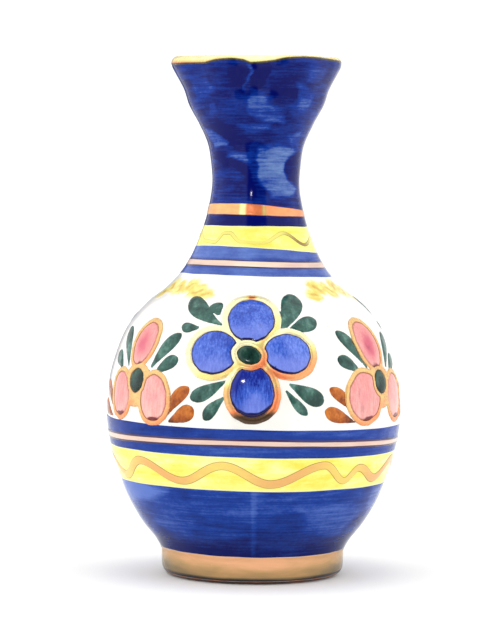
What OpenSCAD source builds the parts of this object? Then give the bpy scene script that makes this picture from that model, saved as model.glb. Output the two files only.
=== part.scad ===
// Talavera pottery vase: a round belly on a foot ring, a narrow throat and a flared, pleated mouth.
// Fired clay carries a white glaze, bands of colour, gold lustre lines and raised enamel flowers.
// Millimetres. Origin at the centre of the foot's resting plane, +Z up, the first blue flower towards -Y.

/* [Vase] */
// Height of the rim above the table at the front
vase_h = 149; // [147:0.5:151]
// Diameter of the belly over its glaze
belly_d = 85.3; // [83:0.1:88]
// Thickness of the clay wall
wall = 3; // [2.6:0.1:3.4]
// Thickness of the white glaze
glaze = 0.4; // [0.3:0.05:0.5]
// Thickness of a painted colour coat
coat = 0.15; // [0.1:0.01:0.2]
// Thickness of the gold lustre
lustre = 0.1; // [0.08:0.01:0.15]
// Height of the raised enamel over the white glaze
enamel = 0.3; // [0.2:0.05:0.5]

/* [Foot] */
// Radius of the rounded lower edge of the foot
foot_round = 3; // [2:0.1:3.2]
// Width of the flat ring that rests on the table
rest_w = 2.6; // [2:0.1:4]
// Depth of the hollow under the foot
recess_h = 3.6; // [2.5:0.1:4]
// Height of the inside floor at the centre
floor_z = 8.6; // [8:0.1:9.5]
// Height at which the glaze ends above the table
glaze_line = 1; // [1:0.1:2.5]

/* [Painted bands] */
// Top edge of the foot's gold band
foot_gold_top = 8; // [7.8:0.1:9]
// Top edge of the cobalt bowl
bowl_top = 28.4; // [27.8:0.1:28.6]
// Top edge of the yellow belly band
belly_yellow_top = 37.1; // [36.9:0.1:38]
// Top edge of the cobalt belly band
belly_blue_top = 45.3; // [44.8:0.1:45.5]
// Bottom edge of the gold line round the belly
belly_line_z = 40.4; // [40:0.1:41]
// Width of the gold line round the belly
belly_line_w = 2; // [0.8:0.05:2.4]
// Bottom edge of the cobalt shoulder band
shoulder_blue_z = 86.9; // [86.5:0.1:88]
// Bottom edge of the gold line round the shoulder
shoulder_line_z = 89.2; // [89:0.1:90]
// Width of the gold line round the shoulder
shoulder_line_w = 1.9; // [0.6:0.05:2.2]
// Top edge of the cobalt shoulder band
shoulder_blue_top = 95; // [94.5:0.1:95.3]
// Top edge of the yellow neck band
neck_yellow_top = 101.3; // [100.8:0.1:102]
// Bottom edge of the gold band round the neck
neck_gold_z = 104; // [103:0.1:106]
// Width of the gold band round the neck
neck_gold_w = 3.2; // [2.5:0.1:4]
// Stroke width of the gold wave on the belly
belly_wave_w = 2.5; // [1.8:0.1:2.7]
// Stroke width of the gold wave on the neck
neck_wave_w = 1.2; // [0.8:0.1:1.6]

/* [Mouth] */
// Half thickness of the rounded lip
lip_r = 1.9; // [1.6:0.1:2.1]
// How far the rim is pushed in at the front pleat
front_pleat = 4.6; // [0:0.1:6]
// How much higher the rim is at the back
back_rise = 2.6; // [0:0.1:4]

/* [Flowers] */
// Height of the middle of the blue flowers
blue_z = 65.5; // [64.5:0.1:66]
// Height of the middle of the pink flowers
pink_z = 57.5; // [57:0.1:58.5]
// Width of the gold stroke round each blue petal
blue_outline_w = 1.9; // [1.2:0.1:2.1]
// Width of the gold ring round the heart of a blue flower
blue_ring_w = 1.7; // [1.2:0.1:1.9]
// Width of the gold stroke round each pink petal
pink_outline_w = 1.5; // [1:0.1:1.8]
// Width of the gold ring round the heart of a pink flower
pink_ring_w = 1.2; // [0.8:0.1:1.6]

/* [Hidden] */
$fn = 96;

terracotta = "#b5653c";
white = "#f6f3ea";
cobalt = "#2b47a0";
yellow = "#f7e66a";
gold = "#d59a5c";
pink = "#eda5a5";
leaf_green = "#3f6e68";
ochre = "#b9662c";

// The turned form is drawn 149 mm high and 85.3 mm across, and stretched to vase_h and belly_d
function fitted(P) = [for (p = P) [p.x * belly_d / 85.3, p.y * vase_h / 149]];

// Outside of the glazed pot as [radius, height], from the top of the foot to the lip
outer_knots = fitted([
    [26.5, 7.2], [28.5, 10.6], [32.7, 15.8], [36.5, 22.8], [39.3, 30], [41.8, 38.5], [42.65, 48.5],
    [41.2, 60.5], [37.1, 71.2], [31.6, 78.2], [25.4, 83.5], [21, 88.2], [17.4, 94.5], [14.7, 102],
    [13, 109.5], [12.65, 116], [13.6, 123.6], [16.4, 130.2], [19.5, 135.6], [21.1, 140.4], [24.3, 146]
]);
bowl_knot = 3;
throat_knot = 15;
lip_knot = 20;
throat_z = outer_knots[throat_knot].y;
foot_z = outer_knots[0].y;

function part_of(P, a, b) = [for (i = [a:b]) P[i]];
function flipped(P) = [for (i = [len(P) - 1:-1:0]) P[i]];
function arc(c, r, a0, a1, n) =
    [for (i = [0:n]) let (a = a0 + (a1 - a0) * i / n) c + r * [cos(a), sin(a)]];
// Smooth curve through the knots, with n steps between each two
function spline(K, n) =
    let (m = len(K) - 1)
    concat([for (i = [0:m - 1], j = [0:n - 1])
        let (t = j / n, b = K[i], c = K[i + 1])
        let (a = i > 0 ? K[i - 1] : 2 * b - c, d = i < m - 1 ? K[i + 2] : 2 * c - b)
        (2 * b + (c - a) * t + (2 * a - 5 * b + 4 * c - d) * t ^ 2 + (3 * b - a - 3 * c + d) * t ^ 3) / 2],
    [K[m]]);
// A curve moved by d to its right, which is away from the clay on the outside and round the mouth
function moved(P, d) =
    [for (i = [0:len(P) - 1])
        let (v = P[min(i + 1, len(P) - 1)] - P[max(i - 1, 0)])
        P[i] + d * [v.y, -v.x] / norm(v)];

// Depths under the finished colours
paint_d = -coat;
clay_d = -coat - glaze;
inner_d = clay_d - wall - glaze;

// Outside of the pot: the rounded edge of the foot, then the wall up to the lip
steps = 3;
foot_c = [outer_knots[0].x - 0.2 - foot_round, foot_round];
outer = concat(arc(foot_c, foot_round, -90, 0, 6), spline(outer_knots, steps));
function height_table(P) = [for (p = P) [p.y, p.x]];
function radius_at(z, d = 0) = lookup(z, height_table(moved(outer, d)));
// Degrees by which the surface leans back from upright at height z
function lean_at(z) = atan(radius_at(z - 0.5) - radius_at(z + 0.5));
// The stretch of a curve between two heights
function between(P, z0, z1) =
    let (table = height_table(P), near = 0.05)
    concat([[lookup(z0, table), z0]],
        [for (p = P) if (p.y > z0 + near && p.y < z1 - near) p],
        [[lookup(z1, table), z1]]);
// A layer of the turned pot from height z0 to z1 and from depth d0 to d1
module turned_layer(z0, z1, d0, d1)
    rotate_extrude()
        polygon(concat(between(moved(outer, d0), z0, z1), flipped(between(moved(outer, d1), z0, z1))));

// Inside of the glazed pot, from the middle of its floor up to the throat, with the clay on its right
floor_knots = [[0, floor_z], [12, floor_z + 0.1], [20, floor_z + 1.7], [26, floor_z + 5.4]];
inner = spline(concat(floor_knots, part_of(moved(outer_knots, inner_d), bowl_knot, throat_knot)), steps);
// The same curve d deep in the glaze or the clay
function inner_curve(d) =
    let (P = moved(inner, d))
    concat([[0, P[0].y]], [for (p = P) if (p.x > 1 && p.y < throat_z - 0.05) p],
        [[lookup(throat_z, height_table(P)), throat_z]]);

// One curve over the flared mouth: up its outside, over the round lip, down its inside to the throat
mouth_steps = 2;
lip_c = [outer_knots[lip_knot].x - lip_r * cos(30), vase_h - lip_r];
flare_in = flipped(part_of(moved(outer_knots, inner_d), throat_knot, lip_knot - 1));
mouth_out = spline(part_of(outer_knots, throat_knot, lip_knot), mouth_steps);
mouth_lip = arc(lip_c, lip_r, -30, 150, 6);
mouth_in = spline(concat([mouth_lip[6]], flare_in), mouth_steps);
mouth = concat(part_of(mouth_out, 0, len(mouth_out) - 2), mouth_lip,
    part_of(mouth_in, 1, len(mouth_in) - 1));
mouth_end = len(mouth) - 1;
// The gold covers the lip, from its outermost point to a little way down the inside
gold_from = len(mouth_out);
gold_to = len(mouth_out) + 6;

// Pleats pinched into the soft rim: angle from the front, depth, half width in degrees
pleats = [
    [-1, front_pleat, 9], [-48, 2, 12], [60, 1.2, 12], [122, 2.4, 13], [182, 4.4, 11], [-124, 2, 13]
];
front_dip = 0.7;
function turn(a) = a - 360 * round(a / 360);
function bump(a, s) = exp(-(turn(a) / s) ^ 2 / 2);
function sum(v) = v * [for (x = v) 1];
function pinch(a) = sum([for (p = pleats) p[1] * bump(a - p[0], p[2])]);
// Place of a point of the mouth curve at angle a, pleated and lifted more the nearer it is to the rim
function pleated(p, a) =
    let (k = max(0, (p.y - throat_z) / (vase_h - throat_z)))
    let (r = p.x - k ^ 2 * pinch(a))
    let (lift = back_rise * ((1 - cos(a)) / 2) ^ 2 - front_dip * bump(a - pleats[0][0], pleats[0][2]))
    [r * sin(a), -r * cos(a), p.y + k ^ 3 * lift];

// A closed ring of sections, each a loop of points placed at its own angle
module ring(sections) {
    n = len(sections);
    m = len(sections[0]);
    points = [for (s = sections) each s];
    faces = [for (j = [0:n - 1], i = [0:m - 1])
        let (a = j * m + i, b = j * m + (i + 1) % m)
        let (c = ((j + 1) % n) * m + i, d = ((j + 1) % n) * m + (i + 1) % m)
        each [[a, b, d], [a, d, c]]];
    polyhedron(points, faces);
}
mouth_sides = 48;
module mouth_ring(loop)
    ring([for (j = [0:mouth_sides - 1])
        [for (p = loop) pleated([p.x, max(p.y, throat_z)], 360 * j / mouth_sides)]]);
// A layer of the mouth over points i0 to i1 of its curve, from depth d0 to d1
module mouth_layer(i0, i1, d0, d1) {
    low = part_of(moved(mouth, d0), i0, i1);
    high = part_of(moved(mouth, d1), i0, i1);
    mouth_ring(concat(low, flipped(high)));
}

// Gold waves: crests and troughs as [angle from the front, height]
belly_wave = [
    [-66, 30], [-51, 35], [-30, 30.2], [-12, 35], [7, 29.9], [29, 35], [40, 30.2], [47, 33.6],
    [60, 30], [76, 34.6], [96, 30.2], [116, 35], [136, 30], [157, 35], [177, 30.2], [197, 34.8],
    [216, 30], [235, 35], [255, 30.2], [274, 34.8]
];
neck_wave = [
    [-43, 96.4], [-34, 98.8], [-28, 98.9], [-14, 96.6], [8, 96.8], [31, 99], [57, 96.2], [80, 97.8],
    [105, 96.8], [130, 99.2], [155, 96.8], [180, 99], [205, 96.8], [230, 99.2], [255, 96.8], [280, 99],
    [300, 96.8]
];
// Height of a wave at angle a: a half cosine between each crest and trough
function wave_z(W, a) =
    let (n = len(W), b = a < W[0][0] ? a + 360 : a)
    let (i = max([for (k = [0:n - 1]) if (W[k][0] <= b) k]))
    let (p = W[i], q = i < n - 1 ? W[i + 1] : W[0] + [360, 0])
    p.y + (q.y - p.y) * (1 - cos(180 * (b - p.x) / (q.x - p.x))) / 2;
wave_sides = 120;
module gold_wave(W, w)
    ring([for (j = [0:wave_sides - 1])
        let (a = W[0][0] + 360 * j / wave_sides, z = wave_z(W, a))
        [for (c = [[-1, 0], [1, 0], [1, lustre], [-1, lustre]])
            let (h = z + c[0] * w / 2, r = radius_at(h, c[1]))
            [r * sin(a), -r * cos(a), h]]]);

// A flat outline laid on the white field at angle a and height z, kept between depths d0 and d1
module painted(a, z, reach, d0, d1)
    intersection() {
        turned_layer(max(z - reach, belly_blue_top), min(z + reach, shoulder_blue_z), d0, d1);
        rotate([0, 0, a])
            translate([0, -radius_at(z), z])
                rotate([90 - lean_at(z), 0, 0])
                    translate([0, 0, -14])
                        linear_extrude(18)
                            children();
    }

// Petal: [x, y, width, length, turn], with its narrower end down before the turn
petal_points = 20;
petal_taper = 0.05;
function petal(p, grow) =
    [for (i = [0:petal_points - 1])
        let (t = 360 * i / petal_points)
        let (x = (p[2] / 2 + grow) * sin(t) * (1 - petal_taper * cos(t)))
        let (y = -(p[3] / 2 + grow) * cos(t))
        [p[0] + x * cos(p[4]) - y * sin(p[4]), p[1] + x * sin(p[4]) + y * cos(p[4])]];
// Brush stroke from its fine tip to its round head: [tip, head, width, bow]
leaf_steps = 8;
leaf_swell = 2.1;
function leaf(l) =
    let (d = l[1] - l[0], side = [-d.y, d.x] / norm(d))
    let (edge = [for (k = [-1, 1])
        [for (i = [0:leaf_steps])
            let (t = i / leaf_steps)
            l[0] + d * t + side * (l[3] * 4 * t * (1 - t) + k * l[2] / 2 * sqrt(sin(180 * t ^ leaf_swell)))]])
    concat(edge[0], flipped(part_of(edge[1], 1, leaf_steps - 1)));
module petals(P, grow = 0) for (p = P) polygon(petal(p, grow));
// The gold of a flower, g, is [width round a petal, width round the heart, radius and height of the
// middle], where the middle fills the gaps between the petals.
// Enamel of the petals, which ends at the gold ring round the heart
module petal_fields(P, heart, g)
    difference() {
        petals(P);
        petals(heart, g[1]);
    }
// Everything inside a flower's outer edge
module flower_area(P, heart, g) {
    petals(P, g[0]);
    petals(heart, g[1]);
    translate([0, g[3]])
        circle(g[2], $fn = 32);
}
module gold_outline(P, heart, g)
    difference() {
        flower_area(P, heart, g);
        petal_fields(P, heart, g);
        petals(heart);
    }
// Leaves stop at the gold outline of their flower
module leaves(L, P, heart, g)
    difference() {
        union() for (l = L) polygon(leaf(l));
        flower_area(P, heart, g);
    }

blue_petals = [
    [0.3, 10.7, 12.9, 14, 0], [-9.5, 1.2, 12.6, 13, 90],
    [10.5, 1.1, 11.6, 12.8, -90], [1, -9.9, 12.1, 13.9, 180]
];
// The three pink flowers are each painted a little differently
pink_petals = [
    [[-0.4, 10.7, 8.8, 12.4, -10], [-7.9, -3.8, 9.6, 12.4, 194], [7.6, -4.4, 9.6, 12.8, 184]],
    [[-1.7, 10.8, 10, 13.8, 16], [-8, -3.6, 13.1, 13.4, 180], [9, -4, 10.8, 12.6, 180]],
    [[-1, 10.8, 9, 12.8, 4], [-7.9, -3.7, 10.4, 12.8, 186], [8.1, -4.2, 10, 12.8, 176]]
];
blue_heart = [[0, 0.1, 6.6, 5.4, -20]];
pink_heart = [[0, 0, 6.2, 6.8, 0]];
blue_gold = [blue_outline_w, blue_ring_w, 8, 0];
pink_gold = [pink_outline_w, pink_ring_w, 6.4, -1.2];
green_leaves = [
    [[-6.6, 8.7], [-16.7, 20.2], 5.8, 1.7], [[-8.4, 11.8], [-9.8, 17.1], 4.2, 0.3],
    [[-13.2, 9], [-19.3, 10.1], 3.4, 0.4],
    [[8.2, 6.4], [11.4, 21], 6.3, -1.1], [[9.6, 8.4], [8.5, 14.4], 2.8, 0],
    [[9.4, 7.2], [18.3, 12.5], 5, -0.2],
    [[-5.2, -6.4], [-16.3, -11.3], 4.4, 0.5], [[-5.6, -10.8], [-12.4, -17.2], 3.7, -0.4],
    [[10.2, -7], [20.7, -11.4], 5, -0.2], [[9.4, -8.2], [16.2, -15.4], 2.9, -0.3]
];
sprig_leaves = [
    [[4.4, 2.2], [12.2, 14.5], 4.4, 0.4], [[6.2, 1.4], [13.9, 7.5], 4.2, 0.3],
    [[-4.8, 2.6], [-13.1, 15.6], 4.4, -0.4], [[-8, 2.4], [-16, 7.9], 4.1, -0.3]
];
ochre_leaves = [
    [[12.2, -10.4], [18.8, -0.1], 4, 0.7], [[12.6, -10.8], [20.7, -5.9], 4.6, -0.4],
    [[-11.3, -9.8], [-20.4, -0.1], 3.6, -0.5], [[-12.2, -10.6], [-22.3, -6.1], 4.1, 0.4]
];
yellow_dabs = [
    [-9.8, -1.2, 4.4, 4.6, 50], [-6.2, 1, 4.2, 6, 40], [-2, -0.4, 4.4, 5.6, 35],
    [2.6, 0.6, 4.2, 5.6, -30], [6.6, -0.8, 4.2, 5.8, -45], [10.2, -1.6, 3.8, 4.4, -50]
];
blue_reach = 21;
pink_reach = 20;
dab_z = 83.4;
dab_reach = 3.4;
// The three repeats of each flower
blue_angle = [-2, 118, 238];
pink_angle = [-52, 59, 178];
module on_blue(i, height)
    painted(blue_angle[i - 1], blue_z, blue_reach, paint_d, paint_d + height)
        children();
module on_pink(i, height)
    painted(pink_angle[i - 1], pink_z, pink_reach, paint_d, paint_d + height)
        children();

module clay_foot() {
    contact = foot_c.x;
    hollow = contact - rest_w - 1;
    color(terracotta)
        rotate_extrude()
            polygon(concat([[contact - rest_w, 0]], between(outer, 0, glaze_line),
                between(moved(outer, clay_d), glaze_line, foot_z), [[hollow, foot_z], [hollow, 1]]));
}
module clay_body() {
    hollow = foot_c.x - rest_w - 1;
    color(terracotta)
        rotate_extrude()
            polygon(concat([[0, recess_h], [hollow, recess_h], [hollow, foot_z]],
                between(moved(outer, clay_d), foot_z, throat_z), flipped(inner_curve(glaze))));
}
module clay_mouth() {
    color(terracotta) mouth_ring(moved(mouth, clay_d));
}
module white_glaze() color(white) turned_layer(glaze_line, throat_z, clay_d, paint_d);
module inside_glaze() {
    color(white)
        rotate_extrude()
            polygon(concat(inner_curve(glaze), flipped(inner_curve(0))));
}
module mouth_blue() color(cobalt) mouth_layer(0, gold_from, clay_d, 0);
module lip_gold() color(gold) mouth_layer(gold_from, gold_to, clay_d, lustre);
module mouth_lining() color(white) mouth_layer(gold_to, mouth_end, clay_d, 0);

module foot_gold_band() color(gold) turned_layer(glaze_line, foot_gold_top, paint_d, 0);
module bowl_blue() color(cobalt) turned_layer(foot_gold_top, bowl_top, paint_d, 0);
module belly_yellow_band() color(yellow) turned_layer(bowl_top, belly_yellow_top, paint_d, 0);
module belly_gold_wave() color(gold) gold_wave(belly_wave, belly_wave_w);
module belly_blue_band() color(cobalt) turned_layer(belly_yellow_top, belly_blue_top, paint_d, 0);
module belly_gold_line() color(gold) turned_layer(belly_line_z, belly_line_z + belly_line_w, 0, lustre);
module shoulder_blue_band() color(cobalt) turned_layer(shoulder_blue_z, shoulder_blue_top, paint_d, 0);
module shoulder_gold_line()
    color(gold)
        turned_layer(shoulder_line_z, shoulder_line_z + shoulder_line_w, 0, lustre);
module neck_yellow_band() color(yellow) turned_layer(shoulder_blue_top, neck_yellow_top, paint_d, 0);
module neck_gold_wave() color(gold) gold_wave(neck_wave, neck_wave_w);
module throat_blue() color(cobalt) turned_layer(neck_yellow_top, throat_z, paint_d, 0);
module neck_gold_band() color(gold) turned_layer(neck_gold_z, neck_gold_z + neck_gold_w, 0, lustre);

module blue_flower_petals(i)
    color(cobalt)
        on_blue(i, enamel)
            petal_fields(blue_petals, blue_heart, blue_gold);
module blue_outline(i)
    color(gold)
        on_blue(i, enamel - lustre)
            gold_outline(blue_petals, blue_heart, blue_gold);
module blue_flower_heart(i) color(leaf_green) on_blue(i, enamel) petals(blue_heart);
module blue_flower_leaves(i)
    color(leaf_green)
        on_blue(i, enamel - lustre)
            leaves(green_leaves, blue_petals, blue_heart, blue_gold);
module pink_flower_petals(i)
    color(pink)
        on_pink(i, enamel)
            petal_fields(pink_petals[i - 1], pink_heart, pink_gold);
module pink_outline(i)
    color(gold)
        on_pink(i, enamel - lustre)
            gold_outline(pink_petals[i - 1], pink_heart, pink_gold);
module pink_flower_heart(i) color(leaf_green) on_pink(i, enamel) petals(pink_heart);
module pink_leaves(i, L)
    on_pink(i, enamel - lustre)
        leaves(L, pink_petals[i - 1], pink_heart, pink_gold);
module pink_flower_leaves(i) color(leaf_green) pink_leaves(i, sprig_leaves);
module ochre_leaf_pairs(i) color(ochre) pink_leaves(i, ochre_leaves);
module yellow_garland(i)
    color(yellow)
        painted(pink_angle[i - 1], dab_z, dab_reach, paint_d, paint_d + coat)
            petals(yellow_dabs);

clay_foot();
clay_body();
clay_mouth();
white_glaze();
inside_glaze();
mouth_blue();
lip_gold();
mouth_lining();
foot_gold_band();
bowl_blue();
belly_yellow_band();
belly_gold_wave();
belly_blue_band();
belly_gold_line();
shoulder_blue_band();
shoulder_gold_line();
neck_yellow_band();
neck_gold_wave();
throat_blue();
neck_gold_band();
for (i = [1:3]) {
    blue_flower_petals(i);
    blue_outline(i);
    blue_flower_heart(i);
    blue_flower_leaves(i);
    pink_flower_petals(i);
    pink_outline(i);
    pink_flower_heart(i);
    pink_flower_leaves(i);
    ochre_leaf_pairs(i);
    yellow_garland(i);
}
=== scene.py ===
import math

import bpy
import numpy as np
from mathutils import Matrix, Vector
from mathutils.geometry import delaunay_2d_cdt


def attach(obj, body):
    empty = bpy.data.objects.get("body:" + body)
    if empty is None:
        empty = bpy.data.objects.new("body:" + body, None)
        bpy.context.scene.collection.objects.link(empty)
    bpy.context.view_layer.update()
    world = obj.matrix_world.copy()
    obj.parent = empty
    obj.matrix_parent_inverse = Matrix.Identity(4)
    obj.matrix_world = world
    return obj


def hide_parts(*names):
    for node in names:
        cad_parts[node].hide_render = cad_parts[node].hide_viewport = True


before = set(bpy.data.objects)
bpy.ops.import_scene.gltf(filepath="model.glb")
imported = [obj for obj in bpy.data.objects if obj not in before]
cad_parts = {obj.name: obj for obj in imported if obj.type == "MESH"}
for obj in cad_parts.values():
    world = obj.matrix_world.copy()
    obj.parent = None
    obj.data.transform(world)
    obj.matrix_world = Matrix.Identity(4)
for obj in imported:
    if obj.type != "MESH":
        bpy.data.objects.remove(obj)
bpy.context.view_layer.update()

# Sizes are in millimetres until a point is placed, and angles run from the front (-Y) towards +X.
MM = 0.001
TURN = 2 * math.pi

# ---- the pot's one surface

OUTER_KNOTS = np.array([
    (26.5, 7.2), (28.5, 10.6), (32.7, 15.8), (36.5, 22.8), (39.3, 30), (41.8, 38.5), (42.65, 48.5),
    (41.2, 60.5), (37.1, 71.2), (31.6, 78.2), (25.4, 83.5), (21, 88.2), (17.4, 94.5), (14.7, 102),
    (13, 109.5), (12.65, 116), (13.6, 123.6), (16.4, 130.2), (19.5, 135.6), (21.1, 140.4), (24.3, 146)])
THROAT_Z = 116.0
RIM_Z = 149.0
LIP = 1.9
FOOT_ROUND = 3.0
INNER_OFFSET = -3.95
CURVE_STEP = 0.2
FLOOR_KNOTS = np.array([(26, 14.0), (20, 10.3), (12, 8.7), (0.25, 8.6)])
PLEATS = [(-1, 4.6, 9), (-48, 2, 12), (60, 1.2, 12), (122, 2.4, 13), (182, 4.4, 11), (-124, 2, 13)]
FRONT_DIP = 0.7
BACK_RISE = 2.6


def spline(knots, n):
    """Smooth curve through the knots, with n steps between each two."""
    ends = np.vstack([2 * knots[0] - knots[1], knots, 2 * knots[-1] - knots[-2]])
    t = (np.arange(n) / n)[:, None]
    out = []
    for a, b, c, d in zip(ends, ends[1:], ends[2:], ends[3:]):
        out.append((2 * b + (c - a) * t + (2 * a - 5 * b + 4 * c - d) * t**2
                    + (3 * b - a - 3 * c + d) * t**3) / 2)
    return np.vstack(out + [knots[-1:]])


def arc(centre, radius, start, end, n):
    a = np.radians(np.linspace(start, end, n + 1))
    return np.array(centre) + radius * np.stack([np.cos(a), np.sin(a)], 1)


def moved(points, d):
    """A curve moved out of the clay by d."""
    v = np.vstack([points[1:2] - points[:1], points[2:] - points[:-2], points[-1:] - points[-2:-1]])
    return points + d * np.stack([v[:, 1], -v[:, 0]], 1) / np.hypot(v[:, 0], v[:, 1])[:, None]


foot_centre = (OUTER_KNOTS[0][0] - 0.2 - FOOT_ROUND, FOOT_ROUND)
lip_centre = (OUTER_KNOTS[-1][0] - LIP * math.cos(math.radians(30)), RIM_Z - LIP)
lip_arc = arc(lip_centre, LIP, -25, 150, 24)
inside_knots = np.vstack([lip_arc[-1:], moved(OUTER_KNOTS, INNER_OFFSET)[19:2:-1], FLOOR_KNOTS])
rough_curve = np.vstack([arc(foot_centre, FOOT_ROUND, -90, 0, 16), spline(OUTER_KNOTS, 16),
                         lip_arc, spline(inside_knots, 16)[1:]])
lengths = np.concatenate([[0], np.cumsum(np.hypot(*np.diff(rough_curve, axis=0).T))])
S = np.arange(0, lengths[-1], CURVE_STEP)
R = np.interp(S, lengths, rough_curve[:, 0])
Z = np.interp(S, lengths, rough_curve[:, 1])


def softened(v):
    """Mean of each value and the five on either side of it."""
    return np.convolve(np.concatenate([[v[0]] * 5, v, [v[-1]] * 5]), np.ones(11) / 11, "valid")


out_r = softened(np.gradient(Z))
out_z = softened(-np.gradient(R))
size = np.hypot(out_r, out_z)
OUT_R = out_r / size
OUT_Z = out_z / size
CREST = int(np.argmax(Z))
S_CREST = S[CREST]
S_END = S[-1]


def s_at(z):
    """Arc length up the outside at height z."""
    return np.interp(z, Z[:CREST], S[:CREST])


def radius_at(z):
    return np.interp(z, Z[:CREST], R[:CREST])


def turned(a):
    return a - 360 * np.round(a / 360)


def bell(x, width):
    return np.exp(-((x / width) ** 2))


def bump(a, middle, width):
    return np.exp(-(turned(a - middle) / width) ** 2 / 2)


def thrown(s, a):
    """The slight waves that a potter's hands leave, out of the wall."""
    rings = 0.045 * np.sin(s / 1.9 + 0.5 * np.sin(a)) + 0.05 * np.sin(s / 4.3 + 1.2)
    sides = 0.09 * np.sin(2 * a + 0.7 + s / 37) + 0.05 * np.sin(3 * a + 2.1 - s / 23)
    return (rings + sides) * np.clip((s - 4) / 12, 0, 1)


def place(s, a, out):
    """Points in metres at arc length s and angle a, out mm proud of the finished glaze."""
    out = out + thrown(s, a)
    r = np.interp(s, S, R) + out * np.interp(s, S, OUT_R)
    z = np.interp(s, S, Z) + out * np.interp(s, S, OUT_Z)
    degrees = np.degrees(a)
    k = np.maximum(0, (z - THROAT_Z) / (RIM_Z - THROAT_Z))
    r = r - k**2 * sum(depth * bump(degrees, middle, width) for middle, depth, width in PLEATS)
    lift = BACK_RISE * ((1 - np.cos(a)) / 2) ** 2 - FRONT_DIP * bump(degrees, PLEATS[0][0], PLEATS[0][2])
    return np.stack([r * np.sin(a), -r * np.cos(a), z + k**3 * lift], -1) * MM


# ---- materials


def srgb(r, g, b):
    """A colour as seen on screen, 0 to 255, in linear light."""
    v = np.array([r, g, b]) / 255
    return tuple(np.where(v <= 0.04045, v / 12.92, ((v + 0.055) / 1.055) ** 2.4)) + (1.0,)


class Nodes:
    """Short ways to add nodes to the tree of a material or of the world."""

    def __init__(self, tree):
        self.tree = tree

    def add(self, kind, inputs, **settings):
        node = self.tree.nodes.new("ShaderNode" + kind)
        for key, value in settings.items():
            setattr(node, key, value)
        for key, value in inputs.items():
            if isinstance(value, bpy.types.NodeSocket):
                self.tree.links.new(value, node.inputs[key])
            elif value is not None:
                node.inputs[key].default_value = value
        return node

    def math(self, operation, a, b=None):
        return self.add("Math", {0: a, 1: b}, operation=operation).outputs[0]

    def fit(self, value, low, high):
        """0 at low and 1 at high, with a smooth change between."""
        inputs = {"Value": value, "From Min": low, "From Max": high}
        return self.add("MapRange", inputs, interpolation_type="SMOOTHSTEP").outputs[0]


class Finish(Nodes):
    """A material with one Principled shader."""

    def __init__(self, name, roughness=0.1, metallic=0.0, ior=1.5):
        self.material = bpy.data.materials.new(name)
        self.material.use_nodes = True
        super().__init__(self.material.node_tree)
        self.shader = self.tree.nodes["Principled BSDF"]
        for key, value in (("Roughness", roughness), ("Metallic", metallic), ("IOR", ior)):
            self.shader.inputs[key].default_value = value
        self.where = self.add("TexCoord", {}).outputs["Object"]

    def attribute(self, name):
        return self.add("Attribute", {}, attribute_name=name).outputs["Fac"]

    def noise(self, wide, high, detail=3.0, rough=0.5, shift=0.0, warp=0.0):
        """Noise with blotches about wide mm across and high mm from top to bottom."""
        scale = tuple(1 / (MM * size) for size in (wide, wide, high))
        vector = self.add("VectorMath", {0: self.where, 1: scale, 2: (shift, shift * 0.7, shift * 1.3)},
                          operation="MULTIPLY_ADD").outputs[0]
        inputs = {"Vector": vector, "Scale": 1.0, "Detail": detail, "Roughness": rough, "Distortion": warp}
        return self.add("TexNoise", inputs).outputs["Fac"]

    def mix(self, share, a, b):
        return self.add("Mix", {0: share, 6: a, 7: b}, data_type="RGBA").outputs[2]

    def over(self, under, colour, value, low, high, share=None):
        """One colour laid over another as a value passes from low to high."""
        much = self.fit(value, low, high)
        if share is not None:
            much = self.math("MULTIPLY", much, share)
        return self.mix(much, under, colour)

    def ramp(self, value, stops):
        node = self.add("ValToRGB", {0: value})
        elements = node.color_ramp.elements
        while len(elements) < len(stops):
            elements.new(0.5)
        for element, (position, colour) in zip(elements, stops):
            element.position = position
            element.color = colour
        return node.outputs[0]

    def weigh(self, *parts):
        """Sum of values times their weights."""
        total = 0.0
        for value, weight in parts:
            total = self.add("Math", {0: value, 1: weight, 2: total}, operation="MULTIPLY_ADD").outputs[0]
        return total

    def inset(self, worn, amount):
        """Distance in from a coat's edge in mm, made ragged by a noise."""
        return self.weigh((self.attribute("inset"), 1.0), (worn, amount), (-1.0, amount / 2))

    def bump(self, depth, *parts):
        """Relief of the given depth in mm, from heights and their weights."""
        node = self.add("Bump", {"Height": self.weigh(*parts), "Distance": depth * MM, "Strength": 1.0})
        self.tree.links.new(node.outputs[0], self.shader.inputs["Normal"])

    def paint(self, colour, grain=None, swing=0.0, least=0.0):
        """The finished material, whose roughness is swing times the grain above the least."""
        self.tree.links.new(colour, self.shader.inputs["Base Color"])
        if grain is not None:
            self.tree.links.new(self.weigh((grain, swing), (1.0, least)), self.shader.inputs["Roughness"])
        return self.material


def white_of(f):
    """The tin glaze, which a coat of paint fades into at its edges."""
    cloud = f.noise(17, 13, 2)
    specks = f.noise(1.1, 1.1, 1, shift=4)
    base = f.over((0.86, 0.86, 0.83, 1), (0.83, 0.81, 0.745, 1), cloud, 0.35, 0.68)
    return f.over(base, (0.50, 0.40, 0.26, 1), specks, 0.755, 0.79, 0.4)


def peel(f, extra=None):
    """Glaze is never quite flat: broad waves and a fine orange peel."""
    parts = [(f.noise(6, 5, 2, shift=9), 1.0), (f.noise(1.1, 1.0, 2, shift=2), 0.18)]
    if extra is not None:
        parts.append(extra)
    f.bump(0.03, *parts)


def white_finish():
    f = Finish("white_tin_glaze")
    peel(f)
    return f.paint(white_of(f), f.noise(9, 9, 2, shift=1), 0.08, 0.05)


def fringed(f, colour, edge_colour, width, ragged):
    """Fades a coat into the colour of its thin edge."""
    reach = f.inset(f.noise(1.6, 1.6, 3, shift=6), ragged)
    return f.over(edge_colour, colour, reach, 0.02, width)


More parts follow.
